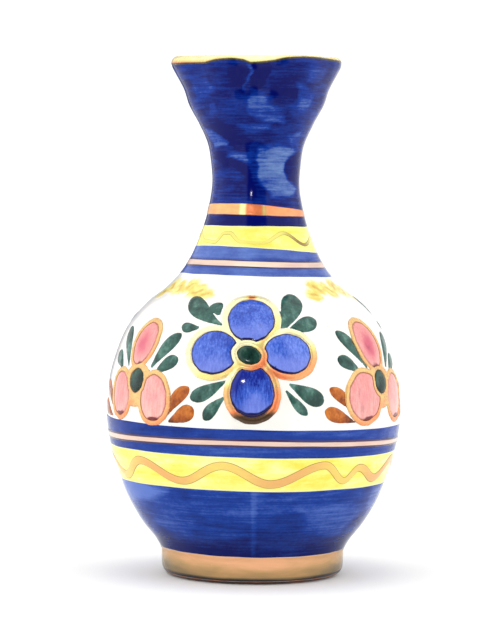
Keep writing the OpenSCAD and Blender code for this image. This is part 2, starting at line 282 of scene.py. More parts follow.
def cobalt_finish(name, deep, mid, pale, share=0.5, grain=(15, 0.75), strokes=0.34):
    """Brushed cobalt: broad washes of colour, fine hairs of the brush and darker pools, with paler and darker
    patches from the load attribute, which holds painted reflections and painted shade besides thicker and
    thinner paint.
    """
    f = Finish(name, ior=1.22)
    wash = f.noise(24, 8, 2, shift=3, warp=0.6)
    hairs = f.noise(*grain, 5, 0.65, shift=5)
    pools = f.noise(4.5, 2.2, 4, 0.6, shift=7)
    grit = f.noise(0.9, 0.55, 3, 0.6, shift=13)
    # load pales and darkens the cobalt: painted reflections and painted shade, and real thick and thin paint
    tone = f.weigh((wash, 0.34), (hairs, strokes), (pools, 0.26), (grit, 0.16), (f.attribute("load"), 0.28))
    tone = f.math("ADD", tone, share - 0.55 - strokes / 2 + 0.17)
    colour = f.ramp(tone, [(0.26, deep), (0.5, mid), (0.76, pale)])
    colour = fringed(f, colour, mid, 0.12, 0.2)
    peel(f, (hairs, 0.25))
    return f.paint(colour, hairs, 0.1, 0.03)


def gold_finish(name, metallic, rough, dark, rim, soft=0.0):
    """Fired gold lustre, from pale yellow through orange to bronze as its tone rises; the tone attribute
    holds painted light, painted shade and painted reflections.
    """
    f = Finish(name, rough, metallic=metallic)
    streak = f.noise(3.2, 1.1, 4, shift=2)
    worn = f.noise(1.3, 1.3, 3, shift=8)
    fine = f.noise(0.6, 0.6, 2, shift=12)
    # The tone attribute is painted light, shade and reflection laid into the lustre's colour
    tone = f.weigh((f.attribute("tone"), 1.0), (streak, 0.24), (worn, 0.14), (fine, 0.06), (-1.0, 0.22))
    colour = f.ramp(tone, [(0.0, (0.88, 0.82, 0.50, 1)), (0.2, (0.80, 0.66, 0.21, 1)),
                           (0.42, (0.72, 0.40, 0.15, 1)), (0.65, (0.92, 0.24, 0.085, 1)),
                           (0.85, (0.38, 0.14, 0.05, 1)), (1.0, (0.07, 0.035, 0.015, 1))])
    if soft > 0:
        reach = f.weigh((f.attribute("to_white"), 1.0), (worn, 0.5), (f.attribute("tone"), 1.4), (-1.0, 0.28))
        colour = f.over(white_of(f), colour, reach, 0.0, soft)
    colour = f.over(rim, colour, f.inset(worn, 0.1), dark * 0.4, dark)
    f.bump(0.03, (streak, 0.6), (worn, 0.4))
    return f.paint(colour, worn, 0.2, rough - 0.1)


def bisque_finish(name, pale, warm, dark, rim):
    """A line of lustre fired so thin that it is flesh-coloured, with a darker edge."""
    f = Finish(name, 0.2, metallic=0.15)
    streak = f.noise(7, 0.8, 4, 0.6, shift=2)
    cloud = f.noise(9, 9, 2, shift=5)
    tone = f.weigh((streak, 0.45), (cloud, 0.3), (f.attribute("tone"), 0.6))
    colour = f.ramp(tone, [(0.3, pale), (0.75, warm)])
    colour = f.over(dark, colour, f.inset(streak, 0.16), rim - 0.1, rim + 0.08)
    peel(f, (streak, 0.2))
    return f.paint(colour, streak, 0.12, 0.12)


def foot_finish():
    """Lustre over the foot: peach above and at the front where painted light falls, olive and tan lower down
    and to the sides in painted shade, and near black at the bottom as a painted contact shadow.
    """
    f = Finish("foot_lustre", 0.24, metallic=0.2)
    cloud = f.noise(12, 3.5, 3, shift=4, warp=0.5)
    hairs = f.noise(9, 0.5, 4, 0.6, shift=6)
    grit = f.noise(0.7, 0.45, 3, shift=8)
    tone = f.weigh((f.attribute("tone"), 1.0), (cloud, 0.5), (hairs, 0.12), (grit, 0.03), (-1.0, 0.325))
    colour = f.ramp(tone, [(0.0, (0.86, 0.44, 0.215, 1)), (0.3, (0.52, 0.30, 0.115, 1)),
                           (0.55, (0.28, 0.19, 0.08, 1)), (0.8, (0.12, 0.085, 0.04, 1)),
                           (1.0, (0.012, 0.012, 0.018, 1))])
    f.bump(0.03, (hairs, 0.6), (cloud, 0.4))
    return f.paint(colour, grit, 0.1, 0.2)


def yellow_finish(name, thin, mid, rich):
    """Thin yellow glaze, paler at its edges and richer where the brush rested."""
    f = Finish(name, ior=1.4)
    wash = f.noise(13, 3.5, 3, shift=11, warp=0.8)
    hairs = f.noise(12, 0.8, 4, 0.6, shift=4)
    grit = f.noise(1.2, 0.8, 3, shift=9)
    tone = f.weigh((wash, 0.6), (hairs, 0.25), (grit, 0.15))
    colour = f.ramp(tone, [(0.38, thin), (0.5, mid), (0.64, rich)])
    colour = fringed(f, colour, (0.88, 0.86, 0.52, 1), 0.8, 0.6)
    peel(f, (hairs, 0.15))
    return f.paint(colour, hairs, 0.08, 0.05)


def wave_finish(name, thin, full, rim, width):
    """A translucent stroke with thin darker lines where the brush pushed the colour out."""
    f = Finish(name, 0.16, ior=1.4)
    hairs = f.noise(2.4, 0.7, 4, 0.6, shift=3)
    load = f.weigh((f.attribute("load"), 1.0), (hairs, 0.5), (-1.0, 0.25))
    colour = f.over(thin, full, load, 0.0, 1.0)
    colour = f.over(colour, rim, f.inset(hairs, 0.12), width, width * 0.5, f.fit(load, -0.5, 0.5))
    peel(f, (hairs, 0.3))
    return f.paint(colour)


def petal_finish(name, deep, mid, pale, pool, rim, foot=None, core=None):
    """Raised enamel, brushed from top to bottom, with the colour run down into a pool. The depth attribute
    darkens it as painted shade, and the foot colour pales its lower part as a painted reflection.
    """
    f = Finish(name, 0.12, ior=1.35)
    hairs = f.noise(0.6, 7, 5, 0.7, shift=5)
    wash = f.noise(4.5, 6, 2, shift=2)
    grit = f.noise(0.5, 0.6, 2, shift=9)
    tone = f.weigh((hairs, 0.62), (wash, 0.34), (grit, 0.2), (f.attribute("depth"), -0.22), (-1.0, 0.08))
    colour = f.ramp(tone, [(0.3, deep), (0.48, mid), (0.66, pale)])
    if foot is not None:
        # Painted reflection: the lower part pales towards the foot colour
        low = f.weigh((f.attribute("up"), -1.0), (f.attribute("depth"), -0.9), (wash, 0.8), (-1.0, 0.4))
        colour = f.over(colour, foot, low, 0.0, 0.8, 0.55)
    if core is not None:
        rose = f.weigh((f.attribute("core"), 1.0), (wash, 1.2), (hairs, 0.4), (-1.0, 0.8))
        colour = f.over(colour, core, rose, 0.0, 1.1, 0.9)
    run = f.weigh((f.attribute("pool"), 1.0), (wash, 0.9), (-1.0, 0.45))
    colour = f.over(colour, pool, run, 0.12, 0.42)
    colour = f.over(colour, pool, f.inset(grit, 0.2), 0.42, 0.14, rim)
    f.bump(0.012, (hairs, 0.3), (wash, 0.7))
    return f.paint(colour, hairs, 0.08, 0.03)


def leaf_finish(name, deep, mid, pale, head=-0.2):
    """One pressed brush stroke: thin near its tip and dark where the colour settled."""
    f = Finish(name, 0.14, ior=1.35)
    wash = f.noise(2.6, 3.6, 3, shift=6)
    grain = f.noise(0.6, 0.8, 3, 0.6, shift=1)
    tone = f.weigh((wash, 0.8), (grain, 0.3), (f.attribute("along"), head), (-0.5, head + 0.2))
    colour = f.ramp(tone, [(0.28, deep), (0.46, mid), (0.64, pale)])
    colour = f.over(colour, deep, f.inset(grain, 0.4), 0.3, 0.02, 0.6)
    f.bump(0.04, (wash, 0.7), (grain, 0.3))
    return f.paint(colour)


def garland_finish():
    """Loose dabs of watery yellow with an ochre stroke through each."""
    f = Finish("yellow_garland", ior=1.4)
    wash = f.noise(2.2, 2.2, 3, shift=3)
    yellow = f.over((0.88, 0.80, 0.24, 1), (0.82, 0.60, 0.12, 1), wash, 0.36, 0.64)
    colour = f.over(white_of(f), yellow, f.inset(wash, 2.2), 0.0, 1.9)
    stroke = f.weigh((f.attribute("stroke"), 1.0), (f.noise(1.6, 1.6, 3, shift=7), 1.2), (-1.0, 0.6))
    colour = f.over(colour, (0.56, 0.29, 0.045, 1), stroke, 0.3, 1.15, 0.7)
    peel(f)
    return f.paint(colour)


def clay_finish():
    """Bare, slightly sandy terracotta with turning marks."""
    f = Finish("terracotta", 0.75)
    sand = f.noise(0.5, 0.5, 4, shift=2)
    cloud = f.noise(9, 4, 3)
    colour = f.ramp(f.weigh((cloud, 0.6), (sand, 0.4)),
                    [(0.35, (0.33, 0.12, 0.055, 1)), (0.52, (0.46, 0.19, 0.09, 1)),
                     (0.7, (0.58, 0.29, 0.16, 1))])
    f.bump(0.12, (sand, 0.6), (f.noise(30, 0.7, 2), 0.4))
    return f.paint(colour)


# ---- meshes


def put(name, data):
    """A new object in the scene."""
    thing = bpy.data.objects.new(name, data)
    bpy.context.scene.collection.objects.link(thing)
    return thing


def add_piece(name, points, faces, values, finish, nodes):
    """A mesh that rides on the pot's body and stands for CAD nodes."""
    mesh = bpy.data.meshes.new(name)
    mesh.from_pydata(points.tolist(), [], faces)
    for key, value in values.items():
        layer = mesh.attributes.new(key, "FLOAT", "POINT")
        layer.data.foreach_set("value", np.ascontiguousarray(value, np.float32))
    mesh.polygons.foreach_set("use_smooth", [True] * len(mesh.polygons))
    mesh.materials.append(finish)
    mesh.update()
    piece = put(name, mesh)
    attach(piece, "root")
    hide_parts(*nodes)
    return piece


def strip(lower, upper):
    """Quads between two closed rows of point numbers."""
    return np.stack([lower, np.roll(lower, -1), np.roll(upper, -1), upper], 1)


def smooth(x):
    x = np.clip(x, 0, 1)
    return x * x * (3 - 2 * x)


COLUMNS = 288
ANGLES = np.arange(COLUMNS) * TURN / COLUMNS
GLAZE_TOP = -0.1
COAT_TOP = -0.02
UNDER = -0.32
POINT_GAP = 0.24
PETAL_POINTS = 72


def wobble(a, seed, height):
    """A line drawn by hand: a smooth wave round the pot, about height mm either way."""
    rng = np.random.default_rng(seed)
    total = 0
    for k in range(1, 16):
        total = total + rng.normal() * np.sin(k * a + rng.uniform(0, TURN)) / k**0.6
    return height * total / 2


def edge(z, tilt=0.0, sag=0.0, seed=0, height=0.1):
    """Arc length of a painted edge that lies near height z: tilt lowers its right side, sag both sides."""
    return lambda a: s_at(z - tilt * np.sin(a) - sag * np.sin(a) ** 2 + wobble(a, seed, height))


def rows(width, spacing):
    """Shares of a coat's width where its rows of points lie, closer together near both edges."""
    near = min(1.0, width / 3) * np.array([0, 0.15, 0.35, 0.6, 1.0])
    n = max(1, round((width - 2 * near[-1]) / spacing))
    middle = np.linspace(near[-1], width - near[-1], n + 1)[1:-1]
    return np.concatenate([near, middle, width - near[::-1]]) / width


def shell(name, low, high, finish, nodes, slot, top=COAT_TOP, sunk=(-0.14, -0.14), feather=0.35,
          spacing=1.0, under=UNDER, capped=False, **extra):
    """A thin closed coat round the pot between two edges, worn down to nothing at both."""
    s0, s1 = low(ANGLES), high(ANGLES)
    u = rows(float(np.mean(s1 - s0)), spacing)
    s = s0 + (s1 - s0) * u[:, None]
    inset = np.minimum(s - s0, s1 - s)
    floor = np.where(u[:, None] < 0.5, sunk[0], sunk[1])
    out = floor + (top - floor) * smooth(inset / feather)
    if capped:
        out = np.where(u[:, None] > 0.5, top, out)
    a = np.broadcast_to(ANGLES, s.shape)
    keep = sorted(set(range(0, len(u), 4)) | {len(u) - 1})
    points = np.concatenate([place(s, a, out).reshape(-1, 3), place(s[keep], a[keep], under).reshape(-1, 3)])
    number = np.arange(len(points)).reshape(-1, COLUMNS)
    upper, lower = number[:len(u)], number[len(u):]
    quads = [strip(p, q) for p, q in zip(upper, upper[1:])]
    quads += [strip(q, p) for p, q in zip(lower, lower[1:])]
    quads.append(strip(lower[0], upper[0]))
    faces = []
    if capped:
        faces = [upper[-1].tolist(), lower[-1][::-1].tolist()]
    else:
        quads.append(strip(upper[-1], lower[-1]))
    faces += np.concatenate(quads).tolist()
    values = {"inset": inset} | {key: value(s, a) for key, value in extra.items()}
    values = {k: np.concatenate([v.ravel(), v[keep].ravel()]) for k, v in values.items()}
    return add_piece(name, points, faces, values, finish, nodes)


def ribbon(name, knots, width, finish, nodes, load, top=0.1, seed=0):
    """A brush stroke that waves round the pot through crests and troughs at (degrees, height)."""
    count = 720
    a = np.radians(knots[0][0]) + np.arange(count) * TURN / count
    angles = np.radians([k[0] for k in knots] + [knots[0][0] + 360])
    heights = np.array([k[1] for k in knots] + [knots[0][1]])
    i = np.clip(np.searchsorted(angles, a, "right") - 1, 0, len(knots) - 1)
    t = (a - angles[i]) / (angles[i + 1] - angles[i])
    z = heights[i] + (heights[i + 1] - heights[i]) * (1 - np.cos(math.pi * t)) / 2
    r = radius_at(z)
    s = s_at(z)
    ds = (np.roll(s, -1) - np.roll(s, 1)) / 2
    dx = r * TURN / count
    norm = np.hypot(ds, dx)
    half = width / 2 * (1 + wobble(a, seed, 0.16))
    v = np.array([-1, -0.93, -0.8, -0.55, -0.25, 0, 0.25, 0.55, 0.8, 0.93, 1])[:, None]
    stroke_s = s + v * half * dx / norm
    stroke_a = a - v * half * ds / norm / r
    inset = half * (1 - np.abs(v))
    out = -0.06 + (top + 0.06) * np.sqrt(1 - v**2) * np.ones_like(stroke_s)
    points = np.concatenate([place(stroke_s, stroke_a, out).reshape(-1, 3),
                             place(stroke_s[[0, -1]], stroke_a[[0, -1]], -0.2).reshape(-1, 3)])
    number = np.arange(len(points)).reshape(-1, count)
    quads = [strip(p, q) for p, q in zip(number[:11], number[1:11])]
    quads += [strip(number[12], number[11]), strip(number[11], number[0]), strip(number[10], number[12])]
    values = {"inset": inset, "load": load(np.degrees(stroke_a)) * np.ones_like(inset)}
    values = {k: np.concatenate([x.ravel(), x[[0, -1]].ravel()]) for k, x in values.items()}
    return add_piece(name, points, np.concatenate(quads).tolist(), values, finish, nodes)


# ---- flowers


class Site:
    """The flat plane that touches the pot at an angle and a height, on which a motif is drawn."""

    def __init__(self, degrees, z):
        a = math.radians(degrees)
        lean = math.atan(radius_at(z - 0.5) - radius_at(z + 0.5))
        radial = np.array([math.sin(a), -math.cos(a), 0])
        up = np.array([0, 0, 1])
        self.middle = radial * radius_at(z) + up * z
        self.x = np.array([math.cos(a), math.sin(a), 0])
        self.y = up * math.cos(lean) - radial * math.sin(lean)
        self.normal = radial * math.cos(lean) + up * math.sin(lean)

    def lay(self, xy):
        """Arc length and angle where flat points meet the pot along the plane's normal."""
        start = self.middle + xy[:, :1] * self.x + xy[:, 1:] * self.y
        # The wall is looked for from 16 mm under the plane to 3 mm over it, by halving
        inside = np.full(len(xy), -16.0)
        outside = np.full(len(xy), 3.0)
        for _ in range(40):
            t = (inside + outside) / 2
            p = start + t[:, None] * self.normal
            hit = np.hypot(p[:, 0], p[:, 1]) > radius_at(p[:, 2])
            outside = np.where(hit, t, outside)
            inside = np.where(hit, inside, t)
        return s_at(p[:, 2]), np.arctan2(p[:, 0], -p[:, 1])


def petal(p, grow=0.0, count=PETAL_POINTS, seed=None):
    """Loop of a petal [x, y, width, length, turn], narrower end down before the turn."""
    t = np.arange(count) * TURN / count
    uneven = 0 if seed is None else wobble(t, seed, 0.13)
    x = (p[2] / 2 + grow + uneven) * np.sin(t) * (1 - 0.05 * np.cos(t))
    y = -(p[3] / 2 + grow + uneven) * np.cos(t)
    c, s = math.cos(math.radians(p[4])), math.sin(math.radians(p[4]))
    return np.stack([p[0] + x * c - y * s, p[1] + x * s + y * c], 1)


def leaf(stroke, grow=0.0):
    """Loop of a brush stroke from its fine tip to its round head: [tip, head, width, bow]."""
    tip, head = np.array(stroke[0]), np.array(stroke[1])
    d = head - tip
    side = np.array([-d[1], d[0]]) / np.hypot(*d)
    t = ((1 - np.cos(np.linspace(0, math.pi, 22))) / 2)[:, None]
    middle = tip + d * t + side * stroke[3] * 4 * t * (1 - t)
    half = (stroke[2] / 2 + grow) * np.sqrt(np.maximum(0, np.sin(math.pi * t**2.1)))
    return np.concatenate([middle - side * half, (middle + side * half)[-2:0:-1]])


def inside_by(points, loop):
    """Distance from each point to a closed line, positive inside it."""
    a, b = loop, np.roll(loop, -1, 0)
    d = b - a
    offset = points[:, None] - a[None]
    t = np.clip((offset * d).sum(2) / np.maximum(1e-12, (d * d).sum(1)), 0, 1)
    far = np.hypot(*np.moveaxis(offset - t[..., None] * d, 2, 0)).min(1)
    y = points[:, 1:2]
    crosses = (a[:, 1] > y) != (b[:, 1] > y)
    slope = np.where(np.abs(d[:, 1]) < 1e-12, 1e-12, d[:, 1])
    x = a[:, 0] + (y - a[:, 1]) / slope * d[:, 0]
    within = ((points[:, :1] < x) & crosses).sum(1) % 2 == 1
    return np.where(within, far, -far)


def inside_any(points, loops):
    """Distance from each point into the loop that it lies deepest in."""
    return np.max([inside_by(points, loop) for loop in loops], 0)


def thinned(fixed, loose, gap):
    """The fixed points, then the loose ones that keep a gap from them and from each other."""
    cells = {}
    kept = []
    for number, p in enumerate(np.concatenate([fixed, loose]).tolist()):
        i, j = int(p[0] // gap), int(p[1] // gap)
        around = (q for m in (i - 1, i, i + 1) for n in (j - 1, j, j + 1) for q in cells.get((m, n), ()))
        if number < len(fixed) or not any(math.dist(p, q) < gap for q in around):
            cells.setdefault((i, j), []).append(p)
            kept.append(p)
    return kept


def triangles(loops, rows_of_points, spacing, reach):
    """Triangles over a motif whose edges follow its loops: (flat points, corner numbers)."""
    fixed = np.concatenate(loops)
    x, y = np.meshgrid(np.arange(-reach, reach, spacing), np.arange(-reach, reach, spacing * 0.87))
    x = x + (np.arange(len(x)) % 2)[:, None] * spacing / 2
    grid = np.stack([x.ravel(), y.ravel()], 1)
    loose = np.concatenate(rows_of_points + [grid[inside_any(grid, loops) > 0.2]])
    edges = []
    for loop in loops:
        n = len(loop)
        first = len(edges)
        edges += [(first + i, first + (i + 1) % n) for i in range(n)]
    found = delaunay_2d_cdt([Vector(p) for p in thinned(fixed, loose, POINT_GAP)], edges, [], 0, 1e-4)
    return np.array([tuple(p) for p in found[0]]), np.array([f for f in found[2] if len(f) == 3])


def relief(name, site, xy, corners, out, values, finish, node):
    """A closed raised patch on the pot over flat triangles."""
    used, corners = np.unique(corners, return_inverse=True)
    corners = corners.reshape(-1, 3)
    d1 = xy[used][corners[:, 1]] - xy[used][corners[:, 0]]
    d2 = xy[used][corners[:, 2]] - xy[used][corners[:, 0]]
    turned_over = d1[:, 0] * d2[:, 1] - d1[:, 1] * d2[:, 0] < 0
    corners[turned_over] = corners[turned_over][:, ::-1]
    s, a = site.lay(xy[used])
    n = len(used)
    points = np.concatenate([place(s, a, out[used]), place(s, a, np.full(n, UNDER))])
    sides = np.concatenate([corners[:, [0, 1]], corners[:, [1, 2]], corners[:, [2, 0]]])
    known = set(map(tuple, sides.tolist()))
    rim = [(p, q) for p, q in known if (q, p) not in known]
    faces = corners.tolist() + (corners[:, ::-1] + n).tolist()
    faces += [(q, p, p + n, q + n) for p, q in sorted(rim)]
    values = {k: np.concatenate([v[used], v[used]]) for k, v in values.items()}
    return add_piece(name, points, faces, values, finish, [node])


BLUE_PETALS = [(0.3, 10.7, 12.9, 14, 0), (-9.5, 1.2, 12.6, 13, 90),
               (10.5, 1.1, 11.6, 12.8, -90), (1, -9.9, 12.1, 13.9, 180)]
PINK_PETALS = [
    [(-0.4, 10.7, 8.8, 12.4, -10), (-7.9, -3.8, 9.6, 12.4, 194), (7.6, -4.4, 9.6, 12.8, 184)],
    [(-1.7, 10.8, 10, 13.8, 16), (-8, -3.6, 13.1, 13.4, 180), (9, -4, 10.8, 12.6, 180)],
    [(-1, 10.8, 9, 12.8, 4), (-7.9, -3.7, 10.4, 12.8, 186), (8.1, -4.2, 10, 12.8, 176)]]
BLUE_HEART = (0, 0.1, 6.6, 5.4, -20)
PINK_HEART = (0, 0, 6.2, 6.8, 0)
GREEN_LEAVES = [
    ((-6.6, 8.7), (-16.7, 20.2), 5.8, 1.7), ((-8.4, 11.8), (-9.8, 17.1), 4.2, 0.3),
    ((-13.2, 9), (-19.3, 10.1), 3.4, 0.4), ((8.2, 6.4), (11.4, 21), 6.3, -1.1),
    ((9.6, 8.4), (8.5, 14.4), 2.8, 0), ((9.4, 7.2), (18.3, 12.5), 5, -0.2),
    ((-5.2, -6.4), (-16.3, -11.3), 4.4, 0.5), ((-5.6, -10.8), (-12.4, -17.2), 3.7, -0.4),
    ((10.2, -7), (20.7, -11.4), 5, -0.2), ((9.4, -8.2), (16.2, -15.4), 2.9, -0.3)]
SPRIG_LEAVES = [((4.4, 2.2), (12.2, 14.5), 4.4, 0.4), ((6.2, 1.4), (13.9, 7.5), 4.2, 0.3),
                ((-4.8, 2.6), (-13.1, 15.6), 4.4, -0.4), ((-8, 2.4), (-16, 7.9), 4.1, -0.3)]
OCHRE_LEAVES = [((12.2, -10.4), (18.8, -0.1), 4, 0.7), ((12.6, -10.8), (20.7, -5.9), 4.6, -0.4),
                ((-11.3, -9.8), (-20.4, -0.1), 3.6, -0.5), ((-12.2, -10.6), (-22.3, -6.1), 4.1, 0.4)]
YELLOW_DABS = [(-9.8, -1.2, 4.4, 4.6, 50), (-6.2, 1, 4.2, 6, 40), (-2, -0.4, 4.4, 5.6, 35),
               (2.6, 0.6, 4.2, 5.6, -30), (6.6, -0.8, 4.2, 5.8, -45), (10.2, -1.6, 3.8, 4.4, -50)]


def outline_light_and_shade(kind, xy, across):
    """Painted light and shade on the lustre round a flower: pale where it is lit above and to the left,
    orange or bronze in painted shade below.
    """
    x, y = xy[:, 0], xy[:, 1]
    light = smooth((across @ (0.38, -0.6) + 0.12) / 0.85)
    near_heart = smooth((5.8 - np.hypot(x, y)) / 1.0)
    if kind == "pink":
        tone = 0.38 + 0.12 * light + 0.06 * smooth((-6 - y) / 4)
        return tone + (0.4 - tone) * near_heart
    tone = 0.05 + 0.4 * light * (0.8 + 0.025 * x) * (1 - 0.6 * smooth((y - 3) / 4))
    low = smooth((-7 - y) / 3)
    tone = tone + low * (0.3 - 0.06 * across[:, 0]) + 0.45 * smooth((-14 - y) / 3.2)
    tone = tone + 0.5 * bell(x - 6, 3.8) * bell(y + 5.2, 2.6)
    slip = np.exp(-(((x - 0.3) / 1.2) ** 4) - ((y - 18.4) / 0.35) ** 2)
    ring = 0.24 + 0.07 * (x - y)
    return tone + (ring - tone) * near_heart + 1.3 * slip


def flower(kind, number, site, petals, heart, sizes, strokes, finishes, seed):
    """One flower with strokes beside it, each (leaves, name, finish, node, slot).

    sizes is the width of the gold round the petals and round the heart, and the radius and height
    of the round of gold that fills the gaps between the petals.
    """
    outline, ring_width, middle, middle_y = sizes
    seeds = {p: seed + i for i, p in enumerate(petals)} | {heart: seed + 8}

    def round_of(p, grow, count):
        """Loop round a petal or the heart, always with its own unevenness."""
        return petal(p, grow, count, seeds[p])

    bodies = [round_of(p, 0, PETAL_POINTS) for p in petals]
    heart_loop = round_of(heart, 0, 48)
    ring_loop = round_of(heart, ring_width, 60)
    disc = petal((0, middle_y, 2 * middle, 2 * middle, 0), 0, 60)
    grown = [round_of(p, outline, 84) for p in petals] + [ring_loop, disc]

    def fields(points):
        """Distance into each petal and into the heart."""
        ring = inside_by(points, ring_loop)
        inside = [np.minimum(inside_by(points, b), -ring) for b in bodies]
        return np.array(inside + [inside_by(points, heart_loop)])

    inner = [round_of(p, -g, n) for p in petals for g, n in ((0.3, 66), (0.75, 54), (1.4, 44))]
    inner += [round_of(heart, ring_width + g, 64) for g in (0.3, 0.75)]
    inner += [round_of(heart, -g, 36) for g in (0.3, 0.75)]
    inner = [r[fields(r).max(0) > 0.2] for r in inner]
    ridge = [round_of(p, outline * g, 78) for p in petals for g in (0.16, 0.34, 0.52, 0.7, 0.86)]
    ridge += [round_of(heart, ring_width * g, 54) for g in (0.16, 0.38, 0.6, 0.82)]
    ridge = [r[fields(r).max(0) < -0.12] for r in ridge]
    drawn = [stroke for group in strokes for stroke in group[0]]
    leaves, veins = ([leaf(stroke, grow) for stroke in drawn] for grow in (0, -0.3))
    loops = bodies + [heart_loop] + grown + leaves
    xy, corners = triangles(loops, inner + ridge + veins, 0.75, 24)
    centre = xy[corners].mean(1)
    body_in = fields(xy)
    grown_in = inside_any(xy, grown)
    body_at = fields(centre)
    which = body_at.argmax(0)
    in_body = body_at.max(0) > 0
    in_outline = ~in_body & (inside_any(centre, grown) > 0)

    # Petals and heart: a low dome of enamel
    nearest = body_in.argmax(0)
    inset = np.maximum(0, body_in.max(0))
    dome = -0.07 + 0.26 * (1 - np.exp(-inset / 0.5))
    shapes = list(petals) + [heart]
    middles = np.array([p[:2] for p in shapes])
    halves = np.array([max(p[2], p[3]) / 2 for p in shapes])
    across = (xy - middles[nearest]) / halves[nearest][:, None]
    last = len(petals)
    x, y = across.T
    bottom = (nearest == 3) & (kind == "blue")
    # Painted shade and reflection: depth darkens the top of each petal, and the bottom blue petal's top and
    # left, leaving a paler painted reflection down its middle
    bottom_petal_painted_shade = 0.62 + 0.5 * y - 0.25 * x - 0.74 * bell(x - 0.08, 0.38) * smooth((0.6 - y) / 0.8)
    depth = np.where(bottom, bottom_petal_painted_shade, 0.3 * y - 0.3 * (nearest == 2))
    drop = np.stack([0 * x, np.where(bottom, 1.5, 0.85 if kind == "blue" else 1.5)], 1)
    below = fields(xy - drop)[nearest, np.arange(len(xy))]
    strength = np.where(nearest == 0, 1.0, 0.35)
    core = strength * bell(x + 0.04, 0.5) * bell(y + 0.08, 0.66)
    pool = np.clip(-below / drop[:, 1], 0, 1)
    if kind == "pink":
        pool = pool * bell(x - 0.1, 0.3) * np.where(nearest == 0, 0.5, 1.2)
    values = {"inset": inset, "up": y, "depth": depth, "core": core, "pool": pool}
    relief(f"{kind}_flower_{number}_petals", site, xy, corners[in_body & (which < last)], dome, values,
           finishes[0], f"{kind}_petals_{number}")
    relief(f"{kind}_flower_{number}_heart", site, xy, corners[in_body & (which == last)], dome,
           {"inset": inset, "along": 0.5 - 0.5 * y}, finishes[1],
           f"{kind}_flower_heart_{number}")

    # Outline: a rounded cord of lustre between the enamel and the white
    to_body = np.maximum(0, -body_in.max(0))
    to_white = np.maximum(0, grown_in)
    whole = np.maximum(1e-6, to_body + to_white)
    cord = 2 * np.sqrt(to_body * to_white) / whole * np.minimum(1, whole / 1.2)
    base = -0.07 * to_white / whole - 0.14 * to_body / whole
    values = {"inset": np.minimum(to_body, to_white) + 0.05, "to_white": to_white,
              "tone": np.clip(outline_light_and_shade(kind, xy, across), 0.0, 1.1)}
    relief(f"{kind}_flower_{number}_outline", site, xy, corners[in_outline], base + 0.34 * cord, values,
           finishes[2], f"{kind}_outline_{number}")

    for group, name, finish, node, slot in strokes:
        loops = [leaf(stroke) for stroke in group]
        at = inside_any(centre, loops)
        within = np.array([inside_by(xy, loop) for loop in loops])
        own = np.minimum(np.maximum(0, within.max(0)), np.maximum(0, -grown_in) + 0.15)
        tips, heads = (np.array([stroke[end] for stroke in group])[within.argmax(0)] for end in (0, 1))
        d = heads - tips
        along = ((xy - tips) * d).sum(1) / (d * d).sum(1)
        raised = -0.14 + 0.24 * (1 - np.exp(-own / 0.35))
        relief(name, site, xy, corners[~in_body & ~in_outline & (at > 0)], raised,
               {"inset": own, "along": along}, finish, node)


def garland(number, degrees, finish):
    """A row of soft yellow dabs above a pink flower."""
    site = Site(degrees, 83.4)
    loops = [petal(p, 1.5, 40, 300 + 7 * number + i) for i, p in enumerate(YELLOW_DABS)]
    xy, corners = triangles(loops, [], 0.42, 16)
    centre = xy[corners].mean(1)
    inset = np.maximum(0, inside_any(xy, loops))
    stroke = np.zeros(len(xy))
    for i, p in enumerate(YELLOW_DABS):
        turn = math.radians(p[4])
        d = np.array([-math.sin(turn), math.cos(turn)])
        offset = xy - np.array(p[:2])
        along = offset @ d
        bow = 0.4 * (1 - (along / 2.2) ** 2) * (-1) ** i
        aside = offset @ np.array([d[1], -d[0]]) - bow
        ends = smooth(1.5 - np.abs(along) / (p[3] * 0.36))
        stroke = np.maximum(stroke, bell(aside, 0.95) * ends)
    out = -0.13 + 0.07 * smooth(inset / 0.8)
    relief(f"yellow_garland_{number}", site, xy, corners[inside_any(centre, loops) > 0], out,
           {"inset": inset, "stroke": stroke}, finish, f"yellow_dabs_{number}")


# ---- finishes

white = white_finish()
terracotta = clay_finish()
outline_gold = gold_finish("outline_lustre", 0.35, 0.26, 0.11, (0.40, 0.17, 0.06, 1), soft=0.7)
thin_gold = gold_finish("thin_outline_lustre", 0.3, 0.26, 0.2, (0.34, 0.15, 0.055, 1), soft=0.3)
neck_gold = gold_finish("neck_lustre", 0.3, 0.22, 0.26, (0.13, 0.03, 0.03, 1))
lip_gold = gold_finish("lip_lustre", 0.3, 0.26, 0.85, (0.035, 0.03, 0.012, 1))
foot_lustre = foot_finish()
belly_line = bisque_finish("belly_line", (0.84, 0.66, 0.55, 1), (0.68, 0.43, 0.34, 1),
                           (0.045, 0.018, 0.06, 1), 0.54)
shoulder_line = bisque_finish("shoulder_line", (0.86, 0.73, 0.56, 1), (0.66, 0.45, 0.37, 1),
                              (0.04, 0.022, 0.06, 1), 0.36)
bowl_cobalt = cobalt_finish("bowl_cobalt", srgb(4, 18, 88), srgb(20, 58, 144), srgb(84, 112, 188), 0.46,
                            grain=(18, 0.6), strokes=0.5)
belly_cobalt = cobalt_finish("belly_cobalt", srgb(12, 30, 98), srgb(28, 60, 146), srgb(78, 108, 182), 0.47)
shoulder_cobalt = cobalt_finish("shoulder_cobalt", srgb(30, 44, 112), srgb(62, 84, 160),
                                srgb(100, 126, 194), 0.46)
neck_cobalt = cobalt_finish("neck_cobalt", srgb(0, 8, 90), srgb(12, 54, 148), srgb(102, 130, 182), 0.345,
                            grain=(9, 0.7), strokes=0.6)
yellow = yellow_finish("yellow_glaze", (0.90, 0.87, 0.34, 1), (0.90, 0.83, 0.17, 1), (0.88, 0.72, 0.07, 1))
belly_wave_paint = wave_finish("orange_wave", (0.86, 0.66, 0.14, 1), (0.76, 0.40, 0.13, 1),
                               (0.34, 0.17, 0.06, 1), 0.2)
